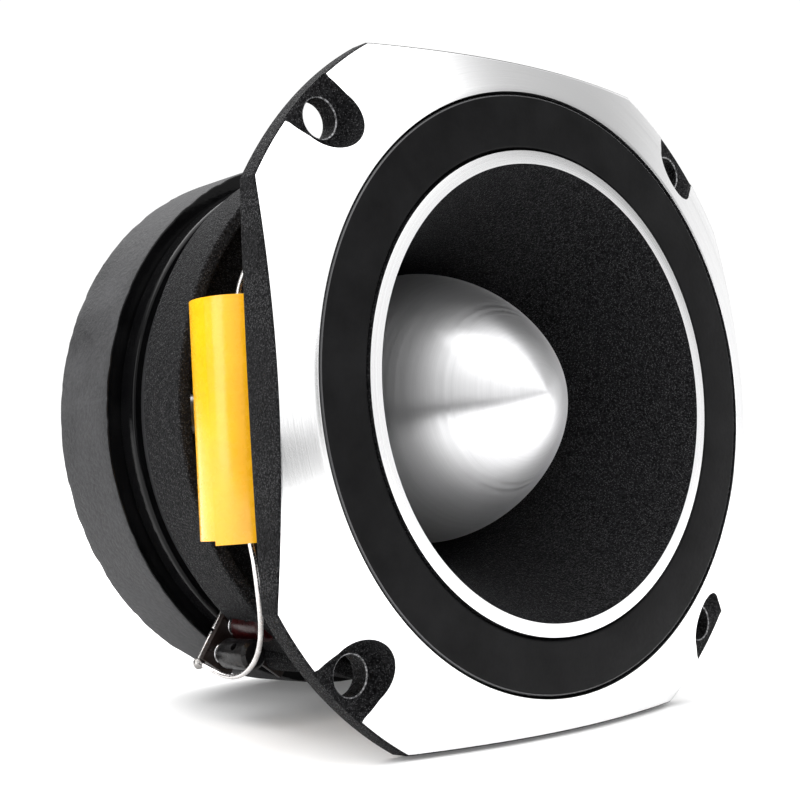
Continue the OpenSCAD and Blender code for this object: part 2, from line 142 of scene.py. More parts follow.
# %% Turning on the lathe
def spin(bm, outline, steps=256, matrix=Matrix(), closed=True):
    """Adds an outline of [radius, depth], turned about Y, to a bmesh."""
    rings = []
    for radius, depth in outline:
        turns = 1 if radius < 1e-6 else steps
        rings.append([
            bm.verts.new(matrix @ Vector((
                radius * MM * math.cos(math.tau * k / steps), depth * MM,
                radius * MM * math.sin(math.tau * k / steps))))
            for k in range(turns)
        ])
    for one, two in zip(rings, rings[1:] + (rings[:1] if closed else [])):
        for k in range(steps):
            n = (k + 1) % steps
            corners = [one[k % len(one)], one[n % len(one)], two[n % len(two)], two[k % len(two)]]
            corners = list(dict.fromkeys(corners))
            if len(corners) > 2:
                bm.faces.new(corners)


def turned(name, outline, materials, steps=256, crease=32):
    bm = bmesh.new()
    spin(bm, outline, steps)
    return closed_object(name, bm, materials, crease)


# %% Taking a modifier's result as the mesh
def settle(piece, crease=32):
    """Turns what the modifiers show into the piece's own plain mesh."""
    graph = bpy.context.evaluated_depsgraph_get()
    mesh = bpy.data.meshes.new_from_object(piece.evaluated_get(graph))
    piece.modifiers.clear()
    piece.data = mesh
    mesh.polygons.foreach_set("use_smooth", [True] * len(mesh.polygons))
    mesh.set_sharp_from_angle(angle=math.radians(crease))
    return piece


def cut_with(piece, tool, operation="DIFFERENCE"):
    """Cuts a piece with a tool, or joins the tool to it, and throws the tool away."""
    change = piece.modifiers.new("cut", "BOOLEAN")
    change.operation = operation
    change.object = tool
    change.solver = "EXACT"
    settle(piece)
    bpy.data.objects.remove(tool)
    return piece


# %% Rounding a copy of a CAD node
def rounded_copy(name, node, width, segments=2):
    """Copies a node, joins its loose triangles and rounds its edges by `width` mm."""
    bm = bmesh.new()
    bm.from_mesh(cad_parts[node].data)
    bmesh.ops.remove_doubles(bm, verts=bm.verts, dist=1e-6)
    bmesh.ops.dissolve_limit(bm, angle_limit=math.radians(1), verts=bm.verts, edges=bm.edges)
    piece = make_object(name, bm)
    edge = piece.modifiers.new("edge", "BEVEL")
    edge.width = width * MM
    edge.segments = segments
    edge.limit_method = "ANGLE"
    edge.angle_limit = math.radians(40)
    edge.use_clamp_overlap = True
    return settle(piece)


def place(piece, body, slot, *nodes):
    """Says which body a piece moves with, its finish and the nodes it stands for."""
    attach(piece, body)
    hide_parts(*nodes)
    print(f"{piece.name}: {len(piece.data.polygons)} faces, in {slot}, on {body}")


# %% [markdown]
# ## Shared finishes
# Three effects come back in many finishes, so each is a node group with named inputs:
# the fine pebble of powder coat, the circular lines that a lathe leaves, and the uneven
# grey of dust and handling. The groups only give out masks and heights. Each material
# keeps its own shader and puts its own plain values on it.

# %% Node helpers
def new_group(name, inputs, outputs):
    group = bpy.data.node_groups.new(name, "ShaderNodeTree")
    for label, value in inputs:
        group.interface.new_socket(label, in_out="INPUT", socket_type="NodeSocketFloat").default_value = value
    for label in outputs:
        group.interface.new_socket(label, in_out="OUTPUT", socket_type="NodeSocketFloat")
    return group, group.nodes.new("NodeGroupInput"), group.nodes.new("NodeGroupOutput")


def add(tree, kind, inputs=None, **settings):
    """Adds a node; each input is a plain value or another node's output socket."""
    node = tree.nodes.new(kind)
    for key, value in settings.items():
        setattr(node, key, value)
    for key, value in (inputs or {}).items():
        if isinstance(value, bpy.types.NodeSocket):
            tree.links.new(value, node.inputs[key])
        else:
            node.inputs[key].default_value = value
    return node


def maths(tree, operation, *values):
    return add(tree, "ShaderNodeMath", dict(enumerate(values)), operation=operation).outputs[0]


def spread(tree, value, low, high, out_low=0.0, out_high=1.0):
    """Maps a value from one range to another and clamps it."""
    return add(tree, "ShaderNodeMapRange", {
        "Value": value, "From Min": low, "From Max": high, "To Min": out_low, "To Max": out_high,
    }).outputs["Result"]


def blend_colour(tree, share, one, two):
    node = add(tree, "ShaderNodeMix", {0: share, 6: one, 7: two}, data_type="RGBA")
    return node.outputs[2]


# %% Powder-coat pebble
pebble, given, gives = new_group(
    "powder pebble", [("Grain", 1500), ("Fleck size", 5200), ("Fleck share", 0.12)],
    ["Height", "Fleck", "Cloud"])
where = add(pebble, "ShaderNodeTexCoord").outputs["Object"]
grain = add(pebble, "ShaderNodeTexNoise", {
    "Vector": where, "Scale": given.outputs["Grain"], "Detail": 3.0, "Roughness": 0.62})
cells = add(pebble, "ShaderNodeTexVoronoi", {
    "Vector": where, "Scale": given.outputs["Fleck size"]}, feature="F1")
chosen = add(pebble, "ShaderNodeSeparateColor", {"Color": cells.outputs["Color"]}).outputs["Red"]
rare = maths(pebble, "LESS_THAN", chosen, given.outputs["Fleck share"])
core = spread(pebble, cells.outputs["Distance"], 0.5, 0.15)
pebble.links.new(maths(pebble, "MULTIPLY", rare, core), gives.inputs["Fleck"])
pebble.links.new(grain.outputs["Fac"], gives.inputs["Height"])
cloud = add(pebble, "ShaderNodeTexNoise", {"Vector": where, "Scale": 70.0, "Detail": 4.0})
pebble.links.new(spread(pebble, cloud.outputs["Fac"], 0.35, 0.65), gives.inputs["Cloud"])

# %% Lathe lines
lathe, given, gives = new_group("lathe lines", [("Lines", 5200), ("Bands", 420)], ["Line", "Band"])
where = add(lathe, "ShaderNodeTexCoord").outputs["Object"]
axes = add(lathe, "ShaderNodeSeparateXYZ", {"Vector": where}).outputs
radius = maths(lathe, "SQRT", maths(
    lathe, "ADD", maths(lathe, "MULTIPLY", axes["X"], axes["X"]),
    maths(lathe, "MULTIPLY", axes["Z"], axes["Z"])))
along = maths(lathe, "ADD", radius, maths(lathe, "MULTIPLY", axes["Y"], 0.8))
for label, detail in (("Line", 2.0), ("Band", 3.0)):
    reach = maths(lathe, "MULTIPLY", along, given.outputs[label + "s"])
    wave = add(lathe, "ShaderNodeTexNoise", {"W": reach, "Scale": 1.0, "Detail": detail},
               noise_dimensions="1D")
    lathe.links.new(wave.outputs["Fac"], gives.inputs[label])

# %% Dust and handling
mottle, given, gives = new_group("mottle", [("Patch", 90), ("Speck", 1300)], ["Patch", "Speck"])
where = add(mottle, "ShaderNodeTexCoord").outputs["Object"]
for label, detail in (("Patch", 6.0), ("Speck", 3.0)):
    spots = add(mottle, "ShaderNodeTexNoise", {
        "Vector": where, "Scale": given.outputs[label], "Detail": detail, "Roughness": 0.6})
    mottle.links.new(spread(mottle, spots.outputs["Fac"], 0.32, 0.68), gives.inputs[label])
print("node groups:", [group.name for group in bpy.data.node_groups])


# %% A bare material and its shader
def new_material(name, colour, roughness, metallic=0.0, **plain):
    """Starts a material; `plain` values sit on the shader's own sockets."""
    material = bpy.data.materials.new(name)
    material.use_nodes = True
    tree = material.node_tree
    shader = tree.nodes["Principled BSDF"]
    values = {"Base Color": (*colour, 1), "Roughness": roughness, "Metallic": metallic}
    values.update({key.replace("_", " "): value for key, value in plain.items()})
    for key, value in values.items():
        shader.inputs[key].default_value = value
    print("material:", name)
    return material, tree, shader


def group_in(tree, group, **inputs):
    node = add(tree, "ShaderNodeGroup")
    node.node_tree = group
    for key, value in inputs.items():
        node.inputs[key.replace("_", " ")].default_value = value
    return node.outputs


def raise_surface(tree, shader, height, depth, strength=1.0):
    """Gives the shader a bump of `depth` mm."""
    bump = add(tree, "ShaderNodeBump", {"Height": height, "Strength": strength, "Distance": depth * MM})
    tree.links.new(bump.outputs["Normal"], shader.inputs["Normal"])


def tint(tree, shader, share, one, two):
    tree.links.new(blend_colour(tree, share, (*one, 1), (*two, 1)), shader.inputs["Base Color"])


def dull(tree, shader, share, low, high):
    """Roughness that runs from `low` to `high` as a mask goes from 0 to 1."""
    tree.links.new(spread(tree, share, 0, 1, low, high), shader.inputs["Roughness"])


def dusty(name, dark, light, rough, metallic=0.0, patch=200, speck=2000, depth=0.01,
          colour_by="Patch", rough_by="Speck", bump_by="Speck", **plain):
    """A finish that drifts with dust and handling; `rough` is one value or a range."""
    drifts = isinstance(rough, tuple)
    material, tree, shader = new_material(name, dark, rough[0] if drifts else rough, metallic, **plain)
    dust = group_in(tree, mottle, Patch=patch, Speck=speck)
    tint(tree, shader, dust[colour_by], dark, light)
    if drifts:
        dull(tree, shader, dust[rough_by], *rough)
    raise_surface(tree, shader, dust[bump_by], depth)
    return material


# %% [markdown]
# ## Black powder coat
# The casting is sprayed with charcoal powder that flows into a fine orange peel. It is
# rough, slightly grey where light grazes it, and tiny specks of it glitter.

# %% Black powder coat
black_coat, tree, shader = new_material(
    "black powder coat", (0.005, 0.005, 0.0055), 0.55, Specular_IOR_Level=0.06)
surface = group_in(tree, pebble, Grain=2600, Fleck_size=4600, Fleck_share=0.45)
grainy = spread(tree, surface["Height"], 0.42, 0.60)
skin_colour = blend_colour(tree, grainy, (0.0007, 0.0007, 0.0010, 1), (0.014, 0.014, 0.015, 1))
worn = blend_colour(tree, maths(tree, "MULTIPLY", surface["Cloud"], 0.35), skin_colour,
                    (0.009, 0.009, 0.010, 1))
glint = blend_colour(tree, surface["Fleck"], worn, (0.062, 0.062, 0.064, 1))
tree.links.new(glint, shader.inputs["Base Color"])
dull(tree, shader, surface["Fleck"], 0.58, 0.30)
raise_surface(tree, shader, surface["Height"], 0.70)

# %% [markdown]
# ## Bright metal
# The flange face and the lip are cut after painting, so they are bright and carry circular
# tool lines. Grooves spread a reflection across themselves: that is what the shader's
# anisotropy does, with a tangent that runs round the axis.

# %% Cut and turned aluminium
def turned_metal(name, colour, roughness, stretch, lines, contrast, depth):
    material, tree, shader = new_material(
        name, colour, roughness, 1.0, Anisotropic=stretch, Anisotropic_Rotation=0.25)
    marks = group_in(tree, lathe, Lines=lines, Bands=lines / 12)
    both = maths(tree, "ADD", maths(tree, "MULTIPLY", marks["Line"], 0.6),
                 maths(tree, "MULTIPLY", marks["Band"], 0.4))
    share = spread(tree, both, 0.3, 0.7)
    tint(tree, shader, share, [c * (1 - contrast) for c in colour], colour)
    rough = spread(tree, both, 0.3, 0.7, roughness * 1.25, roughness * 0.85)
    tree.links.new(rough, shader.inputs["Roughness"])
    tangent = add(tree, "ShaderNodeTangent", direction_type="RADIAL", axis="Y")
    tree.links.new(tangent.outputs["Tangent"], shader.inputs["Tangent"])
    raise_surface(tree, shader, both, depth)
    return material


cut_face = turned_metal("cut face", (0.93, 0.93, 0.935), 0.20, 0.5, 3200, 0.10, 0.004)
cut_lip = turned_metal("cut lip", (0.90, 0.90, 0.905), 0.24, 0.5, 3600, 0.14, 0.004)
satin_aluminium = turned_metal(
    "satin turned aluminium", (0.83, 0.83, 0.84), 0.33, 0.86, 12000, 0.13, 0.0025)

# %% [markdown]
# ## The horn casting
# One die casting makes the flange, the horn and the drum behind it. A lathe shape alone
# can't be it, because the flange is a circle cut to a square with faintly bowed sides. So
# the outline is spun here one angle at a time: the inner points never change and the
# flange's own points move in to the reach that it has at that angle. The cut faces stay
# exact cones that way, and each strip between two points already knows its material.

# %% Sizes of the casting
flange_r, flange_half, flat_bow = 55.5, 48.5, 0.38
face_y, rim_y = -8.3, -3.1
groove_r, lip_r, mouth_r, throat_r = 43.5, 35.0, 33.05, 22.4
bevel_r, bevel_y = groove_r + 0.9, face_y + 0.4
groove_y, throat_y = face_y + 2.2, 27.0
floor_y, drum_rear_y = 29.5, 34.0
edge = 0.22


def flare_r(y):
    return throat_r + (mouth_r - throat_r) * max(0, 1 - (y - face_y) / (throat_y - face_y)) ** 1.7


def slope_y(radius):
    return bevel_y + (rim_y - bevel_y) * (radius - bevel_r) / (flange_r - bevel_r)


def flange_reach(angle):
    """How far the flange reaches from the axis at an angle."""
    half_flat = math.sqrt(flange_r ** 2 - flange_half ** 2)
    bow_r = (half_flat ** 2 + flat_bow ** 2) / (2 * flat_bow)
    centre = flange_half - bow_r
    turn = (angle + math.pi / 4) % (math.pi / 2) - math.pi / 4
    reach = centre * math.cos(turn) + math.sqrt(bow_r ** 2 - (centre * math.sin(turn)) ** 2)
    return min(flange_r, reach)


print("flange reach at 0, 29 and 45 degrees:",
      [round(flange_reach(math.radians(a)), 2) for a in (0, 29, 45)])

# %% The outline behind the face
flare = [(flare_r(y), y) for y in np.linspace(face_y, throat_y, 44)]
flare_back = [(flare_r(y) + 3, y) for y in np.linspace(floor_y, 0, 30)]
drum = soften(
    [(throat_r, throat_y), (throat_r, 33), (28.2, 33), (28.2, drum_rear_y), (42.4, drum_rear_y),
     (43.1, 23.5), (41.0, 23.5), (40.3, floor_y), flare_back[0], flare_back[1]], 0.5, closed=False)
recess = soften(
    [flare_back[-1], (38.2, 0), (38.7, -3.4), (45.5, -3.4), (46, 0), (46.6, 0)], 0.4, closed=False)
groove = soften(
    [(bevel_r, bevel_y), (groove_r, face_y), (groove_r - 0.1, groove_y), (lip_r + 0.1, groove_y),
     (lip_r, face_y), (mouth_r, face_y)], 0.12, steps=2, closed=False)
body_outline = flare[1:] + drum[1:] + flare_back[2:] + recess[1:]


def casting_outline(reach):
    """The whole outline at an angle where the flange has this reach."""
    outer = reach - edge
    rim = [(outer, 0), (reach - 0.3 * edge, -0.3 * edge), (reach, -edge),
           (reach, slope_y(reach) + edge), (reach - 0.3 * edge, slope_y(reach) + 0.25 * edge)]
    face = [(radius, slope_y(radius)) for radius in np.linspace(outer, bevel_r, 26)]
    return body_outline + rim + face + groove[1:]


BLACK, FACE, LIP = 0, 1, 2


def strip_finish(one, two):
    """Which finish the strip between two neighbouring points of the outline has."""
    radius, y = (one[0] + two[0]) / 2, (one[1] + two[1]) / 2
    if radius > groove_r - 0.05 and y < slope_y(max(radius, bevel_r)) + 0.004:
        return FACE
    return LIP if radius < lip_r and y < face_y + 0.03 else BLACK


print("points in the casting's outline:", len(casting_outline(50)))

# %% Spin the casting, one angle at a time
corner_angle = math.atan2(math.sqrt(flange_r ** 2 - flange_half ** 2), flange_half)
corners = [side * math.pi / 2 + sign * corner_angle for side in range(4) for sign in (-1, 1)]
even = np.linspace(0, math.tau, 360, endpoint=False)
angles = sorted({round(float(a), 6) for a in even
                 if all(abs((a - c + math.pi) % math.tau - math.pi) > 0.006 for c in corners)}
                | {round(c % math.tau, 6) for c in corners})
bm = bmesh.new()
columns = [
    [bm.verts.new((r * MM * math.cos(a), y * MM, r * MM * math.sin(a)))
     for r, y in casting_outline(flange_reach(a))]
    for a in angles
]
sample = casting_outline(50)
finishes = [strip_finish(one, two) for one, two in zip(sample, sample[1:] + sample[:1])]
for one, two in zip(columns, columns[1:] + columns[:1]):
    for i, finish in enumerate(finishes):
        n = (i + 1) % len(sample)
        bm.faces.new((one[i], one[n], two[n], two[i])).material_index = finish
casting = closed_object("horn_casting_finished", bm, (black_coat, cut_face, cut_lip))
print("casting blank:", len(casting.data.polygons), "faces")

# %% [markdown]
# ## Screw pockets, holes and ribs
# A screw head sinks into a pocket that opens through the rim like a U and has a rounded
# foot. Each pocket is a stack of U-shaped rings skinned into one cutter. Nothing but a
# boolean gives the clean edge that the face has against the pocket.

# %% Pocket cutters
hole_pitch = 73.0
hole_radial = hole_pitch / 2 * math.sqrt(2)
hole_corners = (45, 135, 225, 315)
pocket_floor_y = -2.85
pocket_half = 4.6
foot = 1.3


def pocket_ring(inset, y, matrix):
    """One U-shaped ring of a pocket; the pocket points outwards along local X."""
    half = pocket_half - inset
    rim_x = flange_r - hole_radial
    ring = [(half * math.cos(a), half * math.sin(a)) for a in np.linspace(math.pi / 2, 1.5 * math.pi, 25)]
    legs = []
    for x in np.linspace(0.4, rim_x + 1.2, 12):
        flare_out = 0.2 * x + 1.0 * max(0, (x - rim_x + 1.5) / 1.5) ** 3
        legs.append((x, half + flare_out))
    ring += [(x, -z) for x, z in legs] + [(x, z) for x, z in reversed(legs)]
    return [matrix @ Vector((x * MM, y * MM, z * MM)) for x, z in ring]


def skin(bm, rings):
    """Joins rings of equal length into one closed tool."""
    made = [[bm.verts.new(point) for point in ring] for ring in rings]
    for one, two in zip(made, made[1:]):
        for k in range(len(one)):
            n = (k + 1) % len(one)
            bm.faces.new((one[k], one[n], two[n], two[k]))
    bm.faces.new(made[0])
    bm.faces.new(made[-1])


def at_angle(radius, degrees):
    """A place at a radius and an angle about the axis, with local X pointing outwards."""
    return Matrix.Rotation(math.radians(degrees), 4, "Y") @ Matrix.Translation((radius * MM, 0, 0))


pockets = bmesh.new()
for degrees in hole_corners:
    stack = []
    for a in np.linspace(0, math.pi / 2, 7):
        stack.append((foot * (1 - math.sin(a)), pocket_floor_y - foot * (1 - math.cos(a))))
    stack.append((-0.3, face_y - 1))
    skin(pockets, [pocket_ring(inset, y, at_angle(hole_radial, degrees)) for inset, y in stack])
cut_with(casting, closed_object("pocket tool", pockets, (black_coat,)))
print("pockets cut:", len(casting.data.polygons), "faces")

# %% Holes
# The small chamfer round each screw hole gets a lighter grey, a painted highlight on its edge.
hole_r, chamfer = 2.75, 0.15
screw_ring_r, screw_hole_r = 37.4, 1.7
feed_x, feed_z, feed_hole_r = -21.4, 30.0, 1.52
holes = bmesh.new()
for degrees in hole_corners:
    spin(holes, [(0, -4.5), (3.05, -4.5), (2.92, pocket_floor_y), (hole_r, pocket_floor_y + chamfer),
                 (hole_r, -0.2), (hole_r + 0.2, 1), (0, 1)], 48, at_angle(hole_radial, degrees))
through = [(screw_hole_r, at_angle(screw_ring_r, degrees)) for degrees in (0, 90, 180, 270)]
through.append((feed_hole_r, Matrix.Translation((feed_x * MM, 0, feed_z * MM))))
for radius, where in through:
    spin(holes, [(0, 28), (radius, 28), (radius, 35), (0, 35)], 24, where)
cut_with(casting, closed_object("hole tool", holes, (black_coat,)))
# Painted highlight: the chamfer faces take a lighter grey finish in place of the black coat.
chamfer_highlight, tree, shader = new_material("painted chamfer highlight", (0.10, 0.10, 0.105), 0.38)
surface = group_in(tree, pebble, Grain=2600, Fleck_size=3300, Fleck_share=0.34)
tint(tree, shader, spread(tree, surface["Height"], 0.42, 0.60), (0.02, 0.02, 0.021), (0.26, 0.26, 0.27))
casting.data.materials.append(chamfer_highlight)
highlight_slot = len(casting.data.materials) - 1
hole_axes = [at_angle(hole_radial, degrees).translation for degrees in hole_corners]
for face in casting.data.polygons:
    depth = face.center.y / MM - pocket_floor_y
    if 0 < depth < chamfer + 0.11 and 0.3 < abs(face.normal.y) < 0.95:
        away = min(math.hypot(face.center.x - at.x, face.center.z - at.z) for at in hole_axes)
        if away < (hole_r + 0.35) * MM:
            face.material_index = highlight_slot
print("holes drilled:", len(casting.data.polygons), "faces")

# %% Terminal notch and boss
# The terminals have their own frame, turned round the axis to where they sit on the drum.
terminal = Matrix.Rotation(math.radians(125.3), 4, "Y")


def block(bm, low, high, matrix=Matrix()):
    """Adds a box between two corners in mm to a bmesh."""
    made = bmesh.ops.create_cube(bm, size=1)["verts"]
    for vert in made:
        share = vert.co + Vector((0.5, 0.5, 0.5))
        vert.co = matrix @ Vector([(a + (b - a) * s) * MM for a, b, s in zip(low, high, share)])


notch = bmesh.new()
block(notch, (37.6, 24.8, -8.4), (50, 35, 1.2), terminal)
cut_with(casting, closed_object("notch tool", notch, (black_coat,)))
boss = bmesh.new()
spin(boss, [(0, 27), (2.4, 27), (2.4, drum_rear_y), (0, drum_rear_y)], 40,
     terminal @ Matrix.Translation((0.0418, 0, 0.0046)))
cut_with(casting, closed_object("boss tool", boss, (black_coat,)), "UNION")

# %% [markdown]
# Ribs stiffen the recess behind the flange. They repeat by a rule, so Geometry Nodes set
# one bar on every point of a ring and turn each to face the axis.

# %% Geometry Nodes helpers
def new_tree(name, inputs):
    """A geometry tree with named inputs; gives the tree, its inputs and its end node."""
    tree = bpy.data.node_groups.new(name, "GeometryNodeTree")
    tree.interface.new_socket("Geometry", in_out="INPUT", socket_type="NodeSocketGeometry")
    for label, kind, value in inputs:
        socket = tree.interface.new_socket(label, in_out="INPUT", socket_type="NodeSocket" + kind)
        if value is not None:
            socket.default_value = value
    tree.interface.new_socket("Geometry", in_out="OUTPUT", socket_type="NodeSocketGeometry")
    return tree, tree.nodes.new("NodeGroupInput").outputs, tree.nodes.new("NodeGroupOutput")


def end_tree(tree, geometry, material, end):
    """Ends a tree in Realize Instances and Set Material."""
    real = add(tree, "GeometryNodeRealizeInstances", {"Geometry": geometry}).outputs[0]
    painted = add(tree, "GeometryNodeSetMaterial", {"Geometry": real, "Material": material})
    tree.links.new(painted.outputs[0], end.inputs[0])


def grow(name, tree, values, start=None, crease=32):
    """Runs a tree on an object once and keeps its result as a plain mesh."""
    seed = bpy.data.objects.new(name, start or bpy.data.meshes.new(name))
    bpy.context.collection.objects.link(seed)
    modifier = seed.modifiers.new("grow", "NODES")
    modifier.node_group = tree
    for item in tree.interface.items_tree:
        if item.in_out == "INPUT" and item.name in values:
            modifier[item.identifier] = values[item.name]
    settle(seed, crease)
    print(f"{name}: {len(seed.data.polygons)} faces")
    return seed


def points_on_ring(tree, count, radius, first=0.0, depth=0.0, sense=1.0):
    """Even points round the Y axis, with each one's index and angle."""
    index = add(tree, "GeometryNodeInputIndex").outputs[0]
    turn = maths(tree, "MULTIPLY", maths(tree, "DIVIDE", maths(tree, "ADD", index, first), count), math.tau)
    ring = add(tree, "GeometryNodeMeshCircle", {"Vertices": count, "Radius": radius})
    across = maths(tree, "MULTIPLY", maths(tree, "COSINE", turn), radius)
    up = maths(tree, "MULTIPLY", maths(tree, "MULTIPLY", maths(tree, "SINE", turn), radius), sense)
    place_at = add(tree, "ShaderNodeCombineXYZ", {"X": across, "Y": depth, "Z": up}).outputs[0]
    moved = add(tree, "GeometryNodeSetPosition", {"Geometry": ring.outputs[0], "Position": place_at})
    return moved.outputs[0], index, turn


# %% Ribs in the recess
ring_tree, given, end = new_tree("bars on a ring", [
    ("Count", "Int", 12), ("Radius", "Float", 0.0421), ("Depth", "Float", -0.00195),
    ("Length", "Float", 0.0084), ("Height", "Float", 0.0039), ("Thickness", "Float", 0.0024),
    ("Finish", "Material", None)])
size = add(ring_tree, "ShaderNodeCombineXYZ", {
    "X": given["Length"], "Y": given["Height"], "Z": given["Thickness"]}).outputs[0]
bar = add(ring_tree, "GeometryNodeMeshCube", {"Size": size}).outputs["Mesh"]
points, _, turn = points_on_ring(
    ring_tree, given["Count"], given["Radius"], 0.5, given["Depth"], -1.0)
facing = add(ring_tree, "ShaderNodeCombineXYZ", {"Y": turn}).outputs[0]
bars = add(ring_tree, "GeometryNodeInstanceOnPoints", {
    "Points": points, "Instance": bar, "Rotation": facing})
end_tree(ring_tree, bars.outputs[0], given["Finish"], end)
ribs = grow("recess ribs", ring_tree, {"Finish": black_coat})
cut_with(casting, ribs, "UNION")
place(casting, "housing", "cast_black", "horn_casting")

# %% [markdown]
# ## Trim ring
# A ring of satin black rubber lies in the groove between the face and the lip. It is
# almost flush, with a fine dark gap on each side. Its rounded outer edge carries a painted highlight.

# %% Trim ring
trim_rubber, tree, shader = new_material(
    "satin black rubber", (0.003, 0.003, 0.0033), 0.40, Specular_IOR_Level=0.07)
marks = group_in(tree, lathe, Lines=2600, Bands=300)
dust = group_in(tree, mottle, Patch=120, Speck=1500)
tint(tree, shader, dust["Patch"], (0.002, 0.002, 0.0022), (0.006, 0.006, 0.0064))
dull(tree, shader, dust["Speck"], 0.34, 0.48)
raise_surface(tree, shader, maths(tree, "ADD", marks["Band"], maths(
    tree, "MULTIPLY", dust["Speck"], 0.4)), 0.02)
trim_r, trim_in_r, trim_face_y = 43.15, 35.35, -8.15
trim_ring = turned(
    "trim_ring_finished",
    soften([(trim_in_r, groove_y), (trim_r, groove_y), (trim_r, trim_face_y), (trim_in_r, trim_face_y)],
           0.45, steps=5), (trim_rubber,), 288)
# Painted highlight: the outer edge gets a lighter colour and more shine than the rest of the ring.
trim_edge_highlight, tree, shader = new_material(
    "painted trim edge highlight", (0.045, 0.045, 0.047), 0.26, Specular_IOR_Level=0.5)
trim_ring.data.materials.append(trim_edge_highlight)
for face in trim_ring.data.polygons:
    on_outer_edge = math.hypot(face.center.x, face.center.z) > (trim_r - 0.25) * MM
    face.material_index = int(on_outer_edge and -0.92 < face.normal.y < -0.25)
place(trim_ring, "housing", "trim_black", "trim_ring")

# %% [markdown]
# ## Phase plug
# The bullet in the middle is turned from a bar. Its nose follows one rule: the radius at a
# share s of its length is R (1 - (1 - s)^1.7)^0.63, which starts in a point and ends
# square to the axis. A rule like that is best kept as a rule, so Geometry Nodes bend a
# flat grid into the nose: one side of the grid runs along the nose and the other round it.

# %% The nose, from its rule
nose_tree, given, end = new_tree("bullet nose", [
    ("Radius", "Float", 0.02115), ("Length", "Float", 0.0267), ("Tip", "Float", -0.0069),
    ("Power", "Float", 1.7), ("Root", "Float", 0.63), ("Rings", "Int", 90),
    ("Steps", "Int", 257), ("Finish", "Material", None)])
grid = add(nose_tree, "GeometryNodeMeshGrid", {
    "Size X": 1.0, "Size Y": 1.0, "Vertices X": given["Rings"], "Vertices Y": given["Steps"]})
flat = add(nose_tree, "ShaderNodeSeparateXYZ", {
    "Vector": add(nose_tree, "GeometryNodeInputPosition").outputs[0]}).outputs
share = maths(nose_tree, "POWER", maths(nose_tree, "ADD", flat["X"], 0.5), 1.8)
turn = maths(nose_tree, "MULTIPLY", maths(nose_tree, "ADD", flat["Y"], 0.5), math.tau)
left = maths(nose_tree, "POWER", maths(nose_tree, "SUBTRACT", 1.0, share), given["Power"])
radius = maths(nose_tree, "MULTIPLY", given["Radius"], maths(
    nose_tree, "POWER", maths(nose_tree, "SUBTRACT", 1.0, left), given["Root"]))
bent = add(nose_tree, "ShaderNodeCombineXYZ", {
    "X": maths(nose_tree, "MULTIPLY", radius, maths(nose_tree, "COSINE", turn)),
    "Y": maths(nose_tree, "ADD", given["Tip"], maths(nose_tree, "MULTIPLY", share, given["Length"])),
    "Z": maths(nose_tree, "MULTIPLY", radius, maths(nose_tree, "SINE", turn))}).outputs[0]
nose = add(nose_tree, "GeometryNodeSetPosition", {"Geometry": grid.outputs["Mesh"], "Position": bent})
closed = add(nose_tree, "GeometryNodeMergeByDistance", {"Geometry": nose.outputs[0], "Distance": 1e-7})
end_tree(nose_tree, closed.outputs[0], given["Finish"], end)
nose_piece = grow("nose", nose_tree, {"Finish": satin_aluminium})

# %% The body behind the nose
bm = bmesh.new()
bm.from_mesh(nose_piece.data)
spin(bm, [(21.15, 19.8), (21.1, 24), (20.9, 33.0), (20.7, 33.2), (16.4, 33.2), (16.4, 34),
          (2.55, 34), (2.55, 22), (0, 22)], 256, closed=False)
bmesh.ops.remove_doubles(bm, verts=bm.verts, dist=2e-6)
phase_plug = closed_object("phase_plug_finished", bm, (satin_aluminium,))
bpy.data.objects.remove(nose_piece)
place(phase_plug, "housing", "turned_aluminium", "phase_plug")

# %% [markdown]
# ## Magnet and plates
# The ferrite ring is pressed and fired like pottery, so its edges crumble a little and its
# grey is cloudy and dusty. Small uneven pushes on the rim's points make the crumbled edge.
# The front plate is dipped in gloss black, and the back plate and its bolt are plainer.

# %% Ferrite
ferrite, tree, shader = new_material("fired ferrite", (0.03, 0.03, 0.032), 0.70, Specular_IOR_Level=0.3)
dust = group_in(tree, mottle, Patch=130, Speck=1700)
share = maths(tree, "ADD", maths(tree, "MULTIPLY", dust["Patch"], 0.62),
              maths(tree, "MULTIPLY", dust["Speck"], 0.38))
tint(tree, shader, share, (0.009, 0.009, 0.010), (0.046, 0.046, 0.048))
dull(tree, shader, dust["Patch"], 0.62, 0.85)
raise_surface(tree, shader, share, 0.16)

plate_y, magnet_y, magnet_rear_y, back_y = 38.3, 42.3, 56.0, 61.0
magnet_r, magnet_in_r = 43.6, 25.5
magnet_outline = soften([(magnet_in_r, magnet_y), (magnet_r, magnet_y), (magnet_r, magnet_rear_y),
                         (magnet_in_r, magnet_rear_y)], 0.4, steps=4)
extra = [(magnet_r, y) for y in np.linspace(magnet_y + 1.1, magnet_rear_y - 1.1, 12)]
split = next(i for i, (r, y) in enumerate(magnet_outline) if y > 50)
magnet = turned("magnet_finished", magnet_outline[:split] + extra + magnet_outline[split:],
                (ferrite,), 320)
rim_reach, rim_r = 0.9 * MM, (magnet_r - 1.1) * MM
for vert in magnet.data.vertices:
    radius = math.hypot(vert.co.x, vert.co.z)
    from_rim = min(abs(vert.co.y - magnet_y * MM), abs(vert.co.y - magnet_rear_y * MM))
    if from_rim < rim_reach and radius > rim_r:
        chip = max(0, noise.noise(vert.co * 420) - 0.05) * 0.28 + abs(noise.noise(vert.co * 1300)) * 0.10
        vert.co.x -= vert.co.x / radius * chip * MM
        vert.co.z -= vert.co.z / radius * chip * MM
place(magnet, "housing", "ferrite", "magnet")
